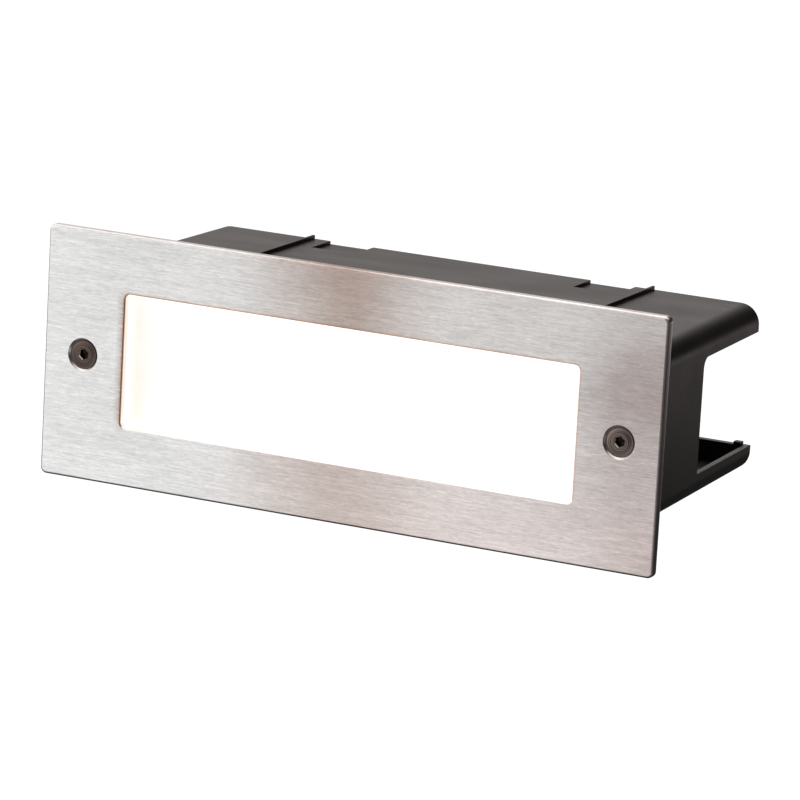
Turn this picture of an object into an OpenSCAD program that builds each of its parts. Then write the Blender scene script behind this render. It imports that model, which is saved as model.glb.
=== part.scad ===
// Recessed wall light in brick format: a brushed steel face with a lit glass window,
// a sealed lamp insert behind it, and the moulded box that is built into the masonry.
// Frame: X to the right, Y into the wall, Z up. Origin in the wall's surface, at the
// centre of the recess. The face stands in front of the wall, at negative Y.

/* [Face plate] */
// Width of the steel face
face_w = 231; // [224:1:250]
// Height of the steel face
face_h = 88; // [76:1:110]
// Thickness of the steel face
face_t = 3; // [2:0.1:3.5]
// Radius of the face's corners
face_corner_r = 2; // [1.5:0.5:6]
// Radius on the face's front edge
face_edge_r = 1; // [0.3:0.1:1.4]
// Steel left at each end of the window
window_margin = 30.5; // [27:0.5:35]
// Height of the window
window_h = 47; // [36:1:52]
// Radius of the window's corners
window_corner_r = 2; // [1:0.5:5]
// Thickness of the rubber seal behind the face
gasket_t = 1; // [0.8:0.1:2]
// How far the rubber seal stays inside the face's outline
gasket_inset = 0.4; // [0.2:0.1:2]

/* [Face screws] */
// Distance of each face screw from its end of the face
screw_inset = 15; // [12:0.5:16]
// Thread diameter of a face screw
screw_d = 5; // [4:0.5:5]
// Thread pitch of a face screw
screw_pitch = 0.8; // [0.7:0.1:0.8]
// Length of a face screw, head included
screw_l = 30; // [28:1:32]
// Diameter of a screw head
screw_head_d = 10; // [9.2:0.1:10.2]
// Diameter of the countersink at the face
countersink_d = 11.5; // [11:0.1:12]
// Width of the hexagon socket across its flats
socket_af = 3; // [2.5:0.5:3]

/* [Mounting box] */
// Depth of the box in the wall
box_depth = 100; // [96:0.5:120]
// Thickness of the box's walls
box_wall = 2; // [1.6:0.1:2.6]
// Radius of the box's long edges
box_edge_r = 7; // [5:0.5:9]
// How far each side leans in over the depth
side_draft = 3; // [0:0.5:4]
// How far the top and the bottom lean in over the depth
top_draft = 0.5; // [0:0.1:1]
// Depth of the closed part of each side wall
side_wall_depth = 48.5; // [40:0.5:60]
// Height of the cable opening in the sides and the back
opening_h = 40; // [30:1:42]
// Distance of each fin from its end of the box
fin_inset = 43; // [34:1:46]
// Height of a fin
fin_h = 1.3; // [0.8:0.1:3]
// Distance of each pocket's centre from its end of the box
pocket_inset = 58.25; // [55:0.25:64]
// Width of a pocket
pocket_w = 17; // [10:1:20]
// Length of a pocket
pocket_l = 15; // [8:1:20]

/* [Lamp insert] */
// Thickness of the frosted glass
glass_t = 3; // [3:0.5:5]
// Depth of the light chamber behind the glass
chamber_depth = 24.5; // [24:0.5:30]
// Depth of the wiring chamber at the back
rear_depth = 29; // [28:0.5:32]
// Number of light-emitting diodes
led_count = 12; // [6:1:14]
// Length that the driver leaves free for the terminals and the gland
terminal_room = 70.3; // [68:0.1:90]

/* [Cable gland] */
// Thread diameter of the gland
gland_d = 16; // [16:1:18]
// Diameter of the cable that the gland takes
cable_d = 7.6; // [6:0.2:8]

/* [Hidden] */
$fn = 48;

// Sides of the circles inside a hull
hull_sides = 32;
// Overrun of every cut past the face that it opens
over = 1;
// Thickness of the slices that a lofted shape is hulled from
slice = 0.01;
// Clearance of a running fit, on the radius
run_gap = 0.05;
// Clearance between pieces of different bodies that only pass each other
pass_gap = 0.3;

// Places along Y
plate_back_y = -gasket_t;
plate_front_y = plate_back_y - face_t;
seal_t = 3.5;
glass_front_y = plate_back_y + seal_t;
ledge_y = glass_front_y + glass_t;
ledge_t = 1.5;
floor_y = ledge_y + chamber_depth;
floor_t = 3;
floor_back_y = floor_y + floor_t;
rear_rim_y = floor_back_y + rear_depth;

// Places along X that follow the face's ends
window_w = face_w - 2 * window_margin;
screw_spacing = face_w - 2 * screw_inset;

// Glass and the tray that holds it
glass_lap = 1.8;
glass_gap = 0.3;
glass_w = window_w + 2 * glass_lap;
glass_h = window_h + 2 * glass_lap;
glass_r = window_corner_r + glass_lap;
rim_wall = 1.4;
tray_w = glass_w + 2 * (glass_gap + rim_wall);
tray_h = glass_h + 2 * (glass_gap + rim_wall);
tray_r = glass_r + glass_gap + rim_wall;
chamber_w = window_w + 2 * glass_gap;
chamber_h = window_h + 2 * glass_gap;
chamber_r = window_corner_r + glass_gap;
chamber_wall = 2;

// Wiring chamber behind the tray
rear_step_w = 3;
rear_step_h = 2;
rear_inner_w = chamber_w - 2 * rear_step_w;
rear_inner_h = chamber_h - 2 * rear_step_h;
rear_r = 4;
rear_inner_r = rear_r - chamber_wall / 2;
rear_w = rear_inner_w + 2 * chamber_wall;
rear_h = rear_inner_h + 2 * chamber_wall;
rib_count = 11;
rib_w = 2;
rib_h = 1.6;

// Mounting box, front and rear outlines
tray_clear = 0.75;
screw_edge = 8.5;
box_front_w = screw_spacing + 2 * screw_edge;
box_front_h = tray_h + 2 * (tray_clear + box_wall);
box_rear_w = box_front_w - 2 * side_draft;
fin_spacing = box_front_w - 2 * fin_inset;
pocket_spacing = box_front_w - 2 * pocket_inset;
back_wall = 2.5;
opening_r = 3.7;
sill_r = 1;
fin_t = 0.9;
fin_root = 0.5;
pocket_d = 1.1;
lug_w = 2.7;
lug_h = 1;
lug_inset = 0.7;

// Insert bosses in the box
insert_d = 7;
insert_l = 10;
boss_wall = 1.7;
boss_r = insert_d / 2 + boss_wall;
boss_y = 16;
boss_tail = 3;
boss_l = insert_l + boss_tail;

// Flange of the insert, which lies on the box's rim
flange_lap = 1;
flange_w = box_front_w - 2 * flange_lap;
flange_h = box_front_h - 2 * flange_lap;
flange_r = box_edge_r - flange_lap;
gasket_gap = 0.4;

// Face screws and their captive washers
head_band = 0.2;
head_drop = (countersink_d - screw_head_d) / 2 - run_gap - head_band;
head_y = plate_front_y + head_drop;
head_cone = (screw_head_d - screw_d) / 2;
socket_depth = 2.2;
chamfer_share = 0.75;
tip_chamfer = chamfer_share * screw_pitch;
washer_d = 9.5;
washer_t = 1.2;
washer_y = boss_y - pass_gap - washer_t;
hole_ease = 0.25;
screw_hole_d = screw_d + 2 * hole_ease;
flange_hole_d = max(countersink_d - 2 * face_t, screw_hole_d) + 2 * hole_ease;

// Reflector, board and diodes
board_t = 1.6;
board_front_y = floor_y - board_t;
board_margin = 12.3;
board_w = chamber_w - 2 * board_margin;
board_h = 28;
led_w = 2.8;
led_l = 3.5;
led_t = 0.7;
led_end = 11.1;
led_row_w = board_w - 2 * led_end;
led_pitch = (led_row_w - led_w) / (led_count - 1);
refl_wall = 1.2;
refl_end = 3.6;
refl_back_w = led_row_w + 2 * refl_end;
refl_back_h = 26;
refl_back_r = 3;
refl_front_y = ledge_y + glass_gap;
led_slot_h = 5;
led_slot_end = 2.2;
led_slot_w = led_row_w + 2 * led_slot_end;
board_screw_inset = 13;
board_screw_x = board_w / 2 - board_screw_inset;
board_screw_z = 7;
small_screw_d = 3;
small_head_d = 5.5;
small_head_t = 2;
small_recess_d = 2.2;
small_recess_t = 1.1;
small_hole_d = 3.4;
connector_w = 4;
connector_h = 8;
connector_t = 4;
port_d = 2.2;
port_depth = 1.5;

// Leads and the grommet in the chamber's floor
lead_d = 1.8;
lead_sides = 8;
lead_rings = 16;
lead_step = 1.3;
grommet_offset = 5;
grommet_x = board_w / 2 + grommet_offset;
grommet_d = 6.4;
grommet_bore = 5;
grommet_rim_d = 7.8;
grommet_rim_t = 0.8;

// Driver
driver_w = 30;
driver_h = 20;
driver_lid_t = 2;
driver_lid_lip = 0.8;
driver_r = 2;
driver_end_gap = 16.3;
driver_l = rear_inner_w - terminal_room - driver_end_gap;
driver_x = rear_inner_w / 2 - driver_end_gap - driver_l / 2;
ear_l = 6;
ear_t = 2.5;
ear_w = 12;
driver_lead_y = floor_back_y + driver_h / 2;

// Terminal block and earth point
block_inset = 37.3;
block_x = block_inset - rear_inner_w / 2;
block_l = 20;
block_h = 14;
block_base_h = 9;
pole_pitch = 9;
pole_count = 3;
pole_d = 7.6;
pole_screw_d = 3.2;
pole_screw_t = 2.4;
pole_wire_rise = 5;
pole_wire_y = floor_back_y + pole_wire_rise;
slot_w = 0.7;
slot_depth = 0.8;
earth_inset = 10.3;
earth_x = earth_inset - rear_inner_w / 2;
earth_z = -11;
earth_boss_d = 8;
earth_boss_l = 5;
earth_screw_d = 4;
earth_head_d = 7;
earth_head_t = 2.6;
tag_t = 0.8;
tag_barrel_l = 4.5;
earth_handle_share = 0.7;
tag_barrel_d = 3;
tag_barrel_x = earth_x + earth_boss_d / 2 - tag_t / 2;

// Rear cover
cover_t = 2.5;
cover_gasket_t = 0.8;
cover_y = rear_rim_y + cover_gasket_t;
cover_back_y = cover_y + cover_t;
post_d = 6.8;
post_inset = 2.9;
post_x = rear_inner_w / 2 - post_inset;
post_z = rear_inner_h / 2 - post_inset;
cover_screw_l = 10;

// Cable gland, on the rear cover
gland_inset = 20.3;
gland_x = gland_inset - rear_inner_w / 2;
spigot_wall = 2.8;
gland_bore = gland_d - 2 * spigot_wall;
gland_rim = 3;
gland_af = gland_d + 2 * gland_rim;
gland_washer_t = 1;
gland_washer_rim = 2.2;
gland_washer_d = gland_d + 2 * gland_washer_rim;
hex_t = 5;
hex_y = cover_back_y + gland_washer_t;
sleeve_y = hex_y + hex_t;
sleeve_l = 12;
sleeve_step = 0.2;
sleeve_d = gland_d + 2 * sleeve_step;
sleeve_wall = 1.1;
sleeve_bore = sleeve_d - 2 * sleeve_wall;
spigot_l = 6.5;
claw_count = 8;
claw_l = 5;
claw_slit = 1;
seal_l = 10;
seal_gap = 0.15;
seal_y = sleeve_y + seal_gap;
ring_t = 1.2;
ring_y = seal_y + seal_l + pass_gap;
ring_d = sleeve_bore - 2 * pass_gap;
ring_ease = 0.5;
ring_bore = cable_d + 2 * ring_ease;
locknut_rim = 2;
locknut_af = gland_d + 2 * locknut_rim;
locknut_t = 5;
cap_gap = 1;
cap_y = sleeve_y + cap_gap;
cap_hex_l = 8;
cap_l = 15.7;
cap_top_step = 0.5;
cap_top_d = gland_d - 2 * cap_top_step;
dome_l = cap_l - cap_hex_l;
dome_steps = 6;
cap_bore = sleeve_d + 2 * run_gap;
cap_mouth_ease = 0.8;
cap_mouth_d = cable_d + 2 * cap_mouth_ease;
cap_nose_y = ring_y + ring_t + pass_gap;
cap_nose_d = ring_d - 2 * pass_gap;
cap_claw_gap = 1.5;
cap_roof_y = sleeve_y + sleeve_l + cap_claw_gap;

// Circle that goes round a hexagon of a given width across its flats
function hex_r(af) = af / sqrt(3);

// Width of a nut's round end as a share of its flats, and how steeply its corners are turned down
nut_end_share = 0.96;
nut_slope_share = 0.6;

// Half outline of the box at a depth
function box_half_w(y) = box_front_w / 2 - side_draft * y / box_depth;
function box_half_h(y) = box_front_h / 2 - top_draft * y / box_depth;

// Outline with round corners, in X and Z
module round_rect(w, h, r) {
    square([w - 2 * r, h], center = true);
    square([w, h - 2 * r], center = true);
    for (sx = [-1, 1], sz = [-1, 1])
        translate([sx * (w / 2 - r), sz * (h / 2 - r)]) circle(r = r);
}

// An outline in X and Z, pushed along Y
module along_y(y, l) {
    translate([0, y + l, 0]) rotate([90, 0, 0]) linear_extrude(height = l) children();
}

// An outline in Y and Z, pushed along X
module along_x(x, l) {
    translate([x, 0, 0]) rotate([90, 0, 90]) linear_extrude(height = l) children();
}

// A round bar along Y
module bar_y(x, y, z, d, l) {
    translate([x, y, z]) rotate([-90, 0, 0]) cylinder(d = d, h = l);
}

// A cone along Y
module cone_y(x, y, z, d1, d2, l) {
    translate([x, y, z]) rotate([-90, 0, 0]) cylinder(d1 = d1, d2 = d2, h = l);
}

// A hexagonal bar along Y
module hex_y_bar(x, y, z, af, l) {
    translate([x, y, z]) rotate([-90, 0, 0]) cylinder(r = hex_r(af), h = l, $fn = 6);
}

// A turned piece along Y, from an outline of radius and length
module turned_y(x, y, z, outline) {
    translate([x, y, z]) rotate([-90, 0, 0]) rotate_extrude() polygon(outline);
}

// A nut along Y, its corners turned down at the low end, the high end or both
module nut_y(x, y, z, af, l, low, high) {
    end_r = nut_end_share * af / 2;
    wide_r = hex_r(af) + over;
    turned_l = nut_slope_share * (wide_r - end_r);
    intersection() {
        hex_y_bar(x, y, z, af, l);
        turned_y(x, y, z, concat(
            [[0, 0]],
            low ? [[end_r, 0], [wide_r, turned_l]] : [[wide_r, 0]],
            high ? [[wide_r, l - turned_l], [end_r, l]] : [[wide_r, l]],
            [[0, l]]
        ));
    }
}

// A ring along Y
module ring_along_y(x, y, z, d, bore, l) {
    difference() {
        bar_y(x, y, z, d, l);
        bar_y(x, y - over, z, bore, l + 2 * over);
    }
}

// A tube along a cubic curve, for a lead
function curve(p, t) =
    pow(1 - t, 3) * p[0] + 3 * pow(1 - t, 2) * t * p[1] + 3 * (1 - t) * t * t * p[2] + pow(t, 3) * p[3];
function heading(p, t) =
    3 * pow(1 - t, 2) * (p[1] - p[0]) + 6 * (1 - t) * t * (p[2] - p[1]) + 3 * t * t * (p[3] - p[2]);
function unit(v) = v / norm(v);

module lead(p, d, side) {
    rings = [for (i = [0 : lead_rings])
        let (t = i / lead_rings, c = curve(p, t), f = unit(heading(p, t)))
        let (u = unit(cross(side, f)), v = cross(f, u))
        [for (k = [0 : lead_sides - 1])
            c + d / 2 * (cos(360 * k / lead_sides) * u + sin(360 * k / lead_sides) * v)]];
    points = [for (r = rings) each r];
    skin = [for (i = [0 : lead_rings - 1], k = [0 : lead_sides - 1])
        let (a = i * lead_sides + k, b = i * lead_sides + (k + 1) % lead_sides)
        each [[a, a + lead_sides, b], [b, a + lead_sides, b + lead_sides]]];
    start = [[for (k = [0 : lead_sides - 1]) k]];
    end = [[for (k = [lead_sides - 1 : -1 : 0]) lead_rings * lead_sides + k]];
    polyhedron(points = points, faces = concat(skin, start, end), convexity = 4);
}

// Pan head screw with a round recess, along Y, its head at the low or the high end
module pan_screw(x, y, z, l, out) {
    translate([x, y, z]) rotate([out * 90, 0, 0]) difference() {
        union() {
            cylinder(d = small_head_d, h = small_head_t);
            translate([0, 0, -l]) cylinder(d = small_screw_d, h = l + small_head_t / 2);
        }
        translate([0, 0, small_head_t - small_recess_t])
            cylinder(d = small_recess_d, h = small_recess_t + over, $fn = 6);
    }
}

// Moulded box in the masonry

// The drafted block between two outlines that follow the box's walls
module box_block(inset, y0, y1) {
    hull() {
        for (y = [y0, y1 - slice])
            along_y(y, slice)
                round_rect(
                    2 * (box_half_w(y) - inset), 2 * (box_half_h(y) - inset),
                    box_edge_r - inset, $fn = hull_sides
                );
    }
}

// The band that is open in both sides and the back, for the supply cable
module cable_band() {
    half = opening_h / 2;
    reach = box_depth + over;
    along_x(-box_front_w / 2 - over, box_front_w + 2 * over) {
        translate([side_wall_depth + opening_r, -half])
            square([reach - side_wall_depth - opening_r, opening_h]);
        translate([side_wall_depth, -half + sill_r]) square([opening_r, opening_h - opening_r - sill_r]);
        translate([side_wall_depth + sill_r, -half]) square([opening_r - sill_r, 2 * sill_r]);
        translate([side_wall_depth + opening_r, half - opening_r]) circle(r = opening_r);
        translate([side_wall_depth + sill_r, -half + sill_r]) circle(r = sill_r);
    }
}

// Two thin fins run the whole depth of the top and of the bottom
module box_fins() {
    for (sx = [-1, 1], sz = [0, 1])
        mirror([0, 0, sz])
            along_x(sx * fin_spacing / 2 - fin_t / 2, fin_t)
                polygon([
                    [0, box_half_h(0) - fin_root], [0, box_half_h(0) + fin_h],
                    [box_depth, box_half_h(box_depth) + fin_h],
                    [box_depth, box_half_h(box_depth) - fin_root]
                ]);
}

// Shallow pockets, open at the back edge
module box_pockets() {
    for (sx = [-1, 1], sz = [-1, 1])
        translate([
            sx * pocket_spacing / 2,
            box_depth - pocket_l / 2 + over / 2,
            sz * (box_half_h(box_depth) - pocket_d + (pocket_d + over) / 2)
        ])
            cube([pocket_w, pocket_l + over, pocket_d + over], center = true);
}

// Bosses for the brass inserts, each with a web to its side wall
module box_bosses() {
    boss_web = screw_edge - box_wall / 2 - side_draft * (boss_y + boss_l) / box_depth;
    for (sx = [-1, 1]) {
        bar_y(sx * screw_spacing / 2, boss_y, 0, 2 * boss_r, boss_l);
        mirror([sx < 0 ? 1 : 0, 0, 0])
            translate([screw_spacing / 2, boss_y, -boss_r])
                cube([boss_web, boss_l, 2 * boss_r]);
    }
}

// Small stops that stand on the ends of the low back wall
module box_lugs() {
    for (sx = [-1, 1])
        translate([
            sx * (box_rear_w / 2 - box_wall - lug_inset - lug_w / 2),
            box_depth - back_wall / 2,
            -opening_h / 2
        ])
            cube([lug_w, back_wall, 2 * lug_h], center = true);
}

module mounting_box() {
    color("#2b2829") {
        difference() {
            union() {
                difference() {
                    box_block(0, 0, box_depth);
                    box_block(box_wall, -over, box_depth - back_wall);
                }
                box_fins();
                box_bosses();
            }
            cable_band();
            box_pockets();
            for (sx = [-1, 1])
                bar_y(sx * screw_spacing / 2, boss_y - over, 0, insert_d, boss_l + 2 * over);
        }
        box_lugs();
    }
}

module threaded_inserts() {
    color("#b08d57")
        for (sx = [-1, 1])
            ring_along_y(sx * screw_spacing / 2, boss_y, 0, insert_d, screw_d + 2 * run_gap, insert_l);
}

// Steel face with its window, rounded front edge and countersinks

module face_plate() {
    steps = 4;
    color("#c9c4c0") difference() {
        hull() {
            for (i = [0 : steps]) {
                a = 90 * i / steps;
                inset = face_edge_r * (1 - sin(a));
                y = plate_front_y + face_edge_r * (1 - cos(a));
                along_y(y, plate_back_y - y)
                    round_rect(
                        face_w - 2 * inset, face_h - 2 * inset,
                        face_corner_r - inset, $fn = hull_sides
                    );
            }
        }
        along_y(plate_front_y - over, face_t + 2 * over) round_rect(window_w, window_h, window_corner_r);
        for (sx = [-1, 1]) {
            cone_y(
                sx * screw_spacing / 2, plate_front_y - over, 0,
                countersink_d + 2 * over, screw_hole_d, over + (countersink_d - screw_hole_d) / 2
            );
            bar_y(sx * screw_spacing / 2, plate_front_y, 0, screw_hole_d, face_t + over);
        }
    }
}

module face_gasket() {
    color("#262425")
        along_y(plate_back_y, gasket_t) difference() {
            round_rect(
                face_w - 2 * gasket_inset, face_h - 2 * gasket_inset, face_corner_r - gasket_inset
            );
            round_rect(
                box_front_w + 2 * gasket_gap,
                box_front_h + 2 * (fin_h + gasket_gap),
                box_edge_r + gasket_gap
            );
        }
}

module diffuser_glass() {
    color("#fff6e8") along_y(glass_front_y, glass_t) round_rect(glass_w, glass_h, glass_r);
}

module glass_seal() {
    color("#e9e6df")
        along_y(plate_back_y, seal_t) difference() {
            round_rect(glass_w, glass_h, glass_r);
            round_rect(chamber_w, chamber_h, chamber_r);
        }
}

// Cast body of the insert: a flange, the glass tray, the light chamber and the wiring chamber

module post_places() {
    for (sx = [-1, 1], sz = [-1, 1]) translate([sx * post_x, sz * post_z]) children();
}

module lamp_housing() {
    color("#3a3b3d") difference() {
        union() {
            along_y(plate_back_y, gasket_t) round_rect(flange_w, flange_h, flange_r);
            along_y(plate_back_y, ledge_y + ledge_t - plate_back_y) round_rect(tray_w, tray_h, tray_r);
            along_y(ledge_y, floor_back_y - ledge_y)
                round_rect(
                    chamber_w + 2 * chamber_wall, chamber_h + 2 * chamber_wall, chamber_r + chamber_wall
                );
            along_y(floor_y, rear_rim_y - floor_y) round_rect(rear_w, rear_h, rear_r);
            housing_ribs();
        }
        along_y(plate_back_y - over, ledge_y - plate_back_y + over)
            round_rect(glass_w + 2 * glass_gap, glass_h + 2 * glass_gap, glass_r + glass_gap);
        along_y(ledge_y - over, chamber_depth + over) round_rect(chamber_w, chamber_h, chamber_r);
        along_y(floor_back_y, rear_depth + over) difference() {
            round_rect(rear_inner_w, rear_inner_h, rear_inner_r);
            post_places() circle(d = post_d);
        }
        for (sx = [-1, 1])
            bar_y(sx * screw_spacing / 2, plate_back_y - over, 0, flange_hole_d, gasket_t + 2 * over);
        for (sx = [-1, 1], sz = [-1, 1]) {
            bar_y(
                sx * post_x, rear_rim_y - cover_screw_l, sz * post_z,
                small_screw_d + 2 * run_gap, cover_screw_l + over
            );
            bar_y(
                sx * board_screw_x, floor_y - over, sz * board_screw_z,
                small_screw_d, floor_t - chamber_wall / 2 + over
            );
        }
        bar_y(grommet_x, floor_y - over, 0, grommet_d, floor_t + 2 * over);
        for (sx = [-1, 1])
            bar_y(
                driver_x + sx * (driver_l + ear_l) / 2, floor_back_y - floor_t / 2, 0,
                small_screw_d, floor_t / 2 + over
            );
    }
    color("#3a3b3d") difference() {
        bar_y(earth_x, floor_back_y, earth_z, earth_boss_d, earth_boss_l);
        bar_y(earth_x, floor_back_y + floor_t / 2, earth_z, earth_screw_d, earth_boss_l);
    }
}

// Cooling ribs along the top and the bottom of the wiring chamber
module housing_ribs() {
    pitch = (rear_w - 2 * rear_r - rib_w) / (rib_count - 1);
    for (i = [0 : rib_count - 1], sz = [-1, 1])
        translate([
            (i - (rib_count - 1) / 2) * pitch - rib_w / 2,
            floor_back_y - floor_t / 2,
            sz > 0 ? rear_h / 2 - chamber_wall / 2 : -rear_h / 2 - rib_h
        ])
            cube([rib_w, rear_rim_y - floor_back_y + floor_t / 2, rib_h + chamber_wall / 2]);
}

// White trough between the board and the glass
module reflector() {
    color("#f4f2ec") difference() {
        hull() {
            along_y(refl_front_y, slice) round_rect(window_w, window_h, window_corner_r, $fn = hull_sides);
            along_y(board_front_y - refl_wall, refl_wall)
                round_rect(refl_back_w, refl_back_h, refl_back_r, $fn = hull_sides);
        }
        hull() {
            along_y(refl_front_y - over, over + slice)
                round_rect(
                    window_w - 2 * refl_wall, window_h - 2 * refl_wall, window_corner_r - refl_wall / 2,
                    $fn = hull_sides
                );
            along_y(board_front_y - refl_wall - slice, slice)
                round_rect(
                    refl_back_w - 2 * refl_wall, refl_back_h - 2 * refl_wall, refl_back_r - refl_wall,
                    $fn = hull_sides
                );
        }
        translate([-led_slot_w / 2, board_front_y - refl_wall - over, -led_slot_h / 2])
            cube([led_slot_w, refl_wall + 2 * over, led_slot_h]);
        for (sx = [-1, 1], sz = [-1, 1])
            bar_y(
                sx * board_screw_x, board_front_y - refl_wall - over, sz * board_screw_z,
                small_hole_d, refl_wall + 2 * over
            );
    }
}

module led_board() {
    color("#eef0ee") difference() {
        translate([-board_w / 2, board_front_y, -board_h / 2]) cube([board_w, board_t, board_h]);
        for (sx = [-1, 1], sz = [-1, 1])
            bar_y(
                sx * board_screw_x, board_front_y - over, sz * board_screw_z,
                small_hole_d, board_t + 2 * over
            );
    }
}

module led_chips() {
    color("#f2d766")
        for (i = [0 : led_count - 1])
            translate([
                (i - (led_count - 1) / 2) * led_pitch - led_w / 2,
                board_front_y - led_t,
                -led_l / 2
            ])
                cube([led_w, led_t, led_l]);
}

// Two-pole plug connector on the board's right end
module board_connector() {
    color("#f0eee8") difference() {
        translate([board_w / 2 - connector_w, board_front_y - connector_t, -connector_h / 2])
            cube([connector_w, connector_t, connector_h]);
        for (sz = [-1, 1])
            translate([
                board_w / 2 - port_depth,
                board_front_y - connector_t / 2,
                sz * lead_step
            ])
                rotate([0, 90, 0]) cylinder(d = port_d, h = port_depth + over);
    }
}

module board_screws() {
    color("#b9b9b7")
        for (sx = [-1, 1], sz = [-1, 1])
            pan_screw(
                sx * board_screw_x, board_front_y - refl_wall, sz * board_screw_z,
                refl_wall + board_t + floor_t / 2, 1
            );
}

module lead_grommet() {
    color("#1d1c1c") {
        ring_along_y(grommet_x, floor_y, 0, grommet_d, grommet_bore, floor_t);
        ring_along_y(grommet_x, floor_y - grommet_rim_t, 0, grommet_rim_d, grommet_bore, grommet_rim_t);
        ring_along_y(grommet_x, floor_back_y, 0, grommet_rim_d, grommet_bore, grommet_rim_t);
    }
}

// Two leads from the board's connector through the grommet to the driver
module led_leads() {
    plug_x = board_w / 2 - port_depth;
    plug_y = board_front_y - connector_t / 2;
    mid_y = (floor_y + floor_back_y) / 2;
    case_x = driver_x + driver_l / 2;
    color("#a33a31")
        for (sz = [-1, 1]) {
            lead([
                [plug_x, plug_y, sz * lead_step],
                [grommet_x, plug_y, sz * lead_step],
                [grommet_x, plug_y + lead_d, sz * lead_step],
                [grommet_x, mid_y, sz * lead_step]
            ], lead_d, [0, 0, 1]);
            lead([
                [grommet_x, mid_y, sz * lead_step],
                [grommet_x, driver_lead_y, sz * lead_step],
                [grommet_x - lead_d, driver_lead_y, sz * lead_step],
                [case_x, driver_lead_y, sz * lead_step]
            ], lead_d, [0, 0, 1]);
        }
}

// Driver: a moulded case with two ears, closed by a lid

module driver_case() {
    color("#e7e5df") difference() {
        union() {
            translate([driver_x, 0, 0])
                along_y(floor_back_y, driver_h - driver_lid_t) round_rect(driver_l, driver_w, driver_r);
            translate([driver_x, 0, 0])
                along_y(floor_back_y, ear_t) square([driver_l + 2 * ear_l, ear_w], center = true);
        }
        for (sx = [-1, 1])
            bar_y(
                driver_x + sx * (driver_l + ear_l) / 2, floor_back_y - over, 0,
                small_hole_d, ear_t + 2 * over
            );
    }
}

module driver_lid() {
    color("#d8d6d0") translate([driver_x, 0, 0]) {
        along_y(floor_back_y + driver_h - driver_lid_t, driver_lid_t)
            round_rect(driver_l - driver_lid_lip, driver_w - driver_lid_lip, driver_r - driver_lid_lip / 2);
        along_y(floor_back_y + driver_h, driver_lid_lip)
            round_rect(driver_l - 2 * ear_l, driver_w - ear_l, driver_r);
    }
}

module driver_screws() {
    color("#b9b9b7")
        for (sx = [-1, 1])
            pan_screw(
                driver_x + sx * (driver_l + ear_l) / 2, floor_back_y + ear_t, 0,
                ear_t + floor_t / 2, -1
            );
}

// Three-pole terminal block, its poles side by side along Z
module terminal_block() {
    width = pole_count * pole_pitch;
    color("#ece9e0") difference() {
        union() {
            translate([block_x, 0, 0])
                along_y(floor_back_y, block_base_h) square([block_l, width], center = true);
            for (i = [0 : pole_count - 1], sx = [-1, 1])
                bar_y(
                    block_x + sx * block_l / 4, floor_back_y + block_base_h / 2, pole_z(i),
                    pole_d, block_h - block_base_h / 2
                );
        }
        for (i = [0 : pole_count - 1]) {
            for (sx = [-1, 1])
                bar_y(
                    block_x + sx * block_l / 4, floor_back_y + block_base_h, pole_z(i),
                    pole_screw_d + 2 * run_gap, block_h
                );
            translate([block_x - block_l / 2 - over, pole_wire_y, pole_z(i)])
                rotate([0, 90, 0]) cylinder(d = lead_d + 2 * pass_gap, h = block_l + 2 * over);
        }
    }
}

function pole_z(i) = (i - (pole_count - 1) / 2) * pole_pitch;

module terminal_screws() {
    color("#b08d57")
        for (i = [0 : pole_count - 1], sx = [-1, 1])
            difference() {
                bar_y(
                    block_x + sx * block_l / 4, floor_back_y + block_base_h, pole_z(i),
                    pole_screw_d, pole_screw_t
                );
                translate([
                    block_x + sx * block_l / 4,
                    floor_back_y + block_base_h + pole_screw_t,
                    pole_z(i)
                ])
                    cube([slot_w, 2 * slot_depth, pole_screw_d + over], center = true);
            }
}

// Live and neutral leads from the block to the driver
module mains_leads() {
    from_x = block_x + block_l / 4;
    to_x = driver_x - driver_l / 2;
    span = to_x - from_x;
    color("#2f5f9e")
        for (i = [0, pole_count - 1])
            lead([
                [from_x, pole_wire_y, pole_z(i)],
                [from_x + span / 2, pole_wire_y, pole_z(i)],
                [to_x - span / 2, driver_lead_y, pole_z(i)],
                [to_x, driver_lead_y, pole_z(i)]
            ], lead_d, [0, 0, 1]);
}

// Ring tag on the housing's earth boss, with a crimped barrel
module earth_tag() {
    tag_y = floor_back_y + earth_boss_l;
    color("#c7c2b4") {
        ring_along_y(earth_x, tag_y, earth_z, earth_boss_d, earth_screw_d, tag_t);
        translate([tag_barrel_x, tag_y + tag_barrel_d / 2, earth_z])
            rotate([0, 90, 0]) cylinder(d = tag_barrel_d, h = tag_barrel_l);
    }
}

module earth_screw() {
    tag_y = floor_back_y + earth_boss_l;
    color("#b08d57") difference() {
        union() {
            bar_y(earth_x, tag_y + tag_t, earth_z, earth_head_d, earth_head_t);
            bar_y(
                earth_x, floor_back_y + floor_t / 2, earth_z,
                earth_screw_d, earth_boss_l - floor_t / 2 + tag_t + earth_head_t / 2
            );
        }
        translate([earth_x, tag_y + tag_t + earth_head_t, earth_z])
            cube([earth_head_d + over, 2 * slot_depth, slot_w], center = true);
    }
}

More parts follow.
